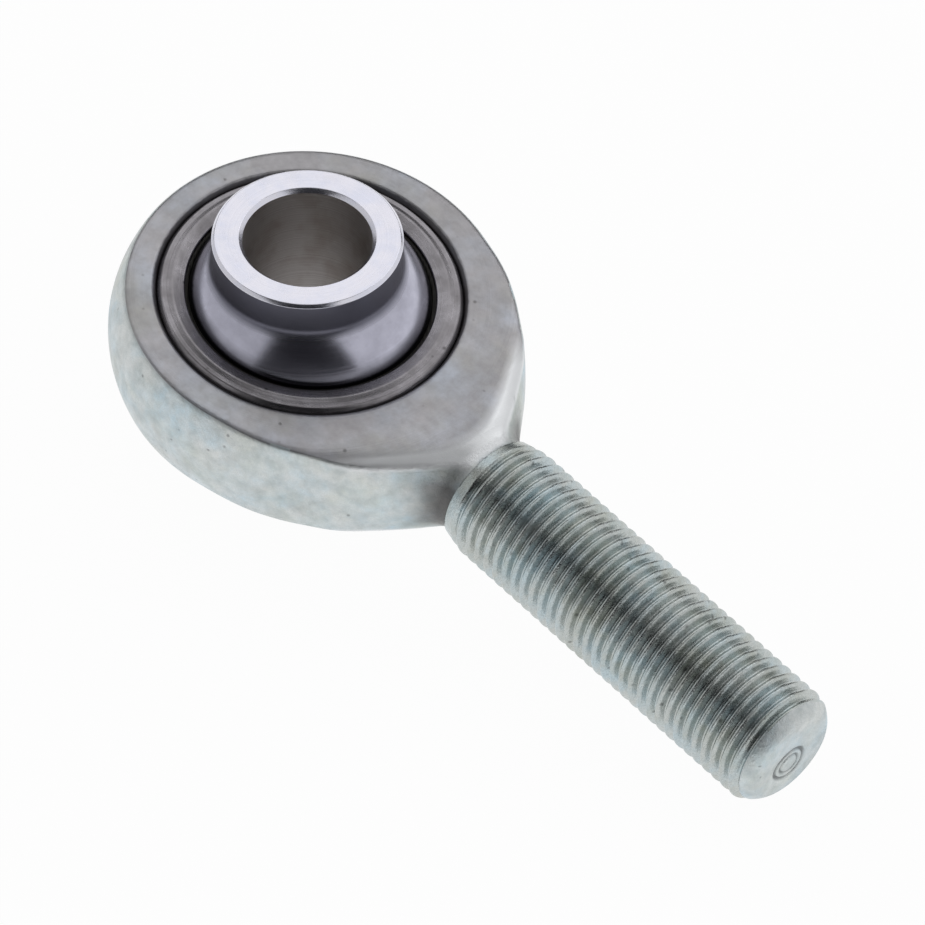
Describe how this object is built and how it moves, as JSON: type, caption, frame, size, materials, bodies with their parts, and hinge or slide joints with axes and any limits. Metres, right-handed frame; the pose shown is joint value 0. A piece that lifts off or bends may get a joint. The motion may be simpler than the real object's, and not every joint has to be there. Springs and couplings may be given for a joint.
{
  "type": "rod end bearing",
  "caption": "Rod end bearing: eye with a threaded shank, staked race, thin low-friction liner and a wide polished ball with flat collars and a through bore.",
  "frame": {"origin": "centre of the ball, on the axis of its bore", "axes": "+Z along the ball's bore, up when the part lies on its lower collar face; the shank points to +X and leans down by 5.59 degrees, so that its tip is level with that face"},
  "size_m": [0.0883, 0.04, 0.0258],
  "materials": {
    "polished_ball": "polished sphere, ground flat collars",
    "liner": "dark woven low-friction liner",
    "race_steel": "turned steel with a staked lip",
    "zinc_plate": "clear zinc plate, machined faces"
  },
  "bodies": {
    "body": {"rod_end_body": "zinc_plate", "outer_race": "race_steel"},
    "liner": {"race_liner": "liner"},
    "ball": {"ball": "polished_ball"}
  },
  "joints": [
    {"name": "ball_swing", "type": "hinge", "parent": "body", "child": "liner", "pos_m": [0, 0, 0], "axis": [0.0973, 0, 0.9953], "continuous": true},
    {"name": "ball_tilt", "type": "hinge", "parent": "liner", "child": "ball", "pos_m": [0, 0, 0], "axis": [0, 1, 0], "range_deg": [-13.91, 25.09]}
  ]
}
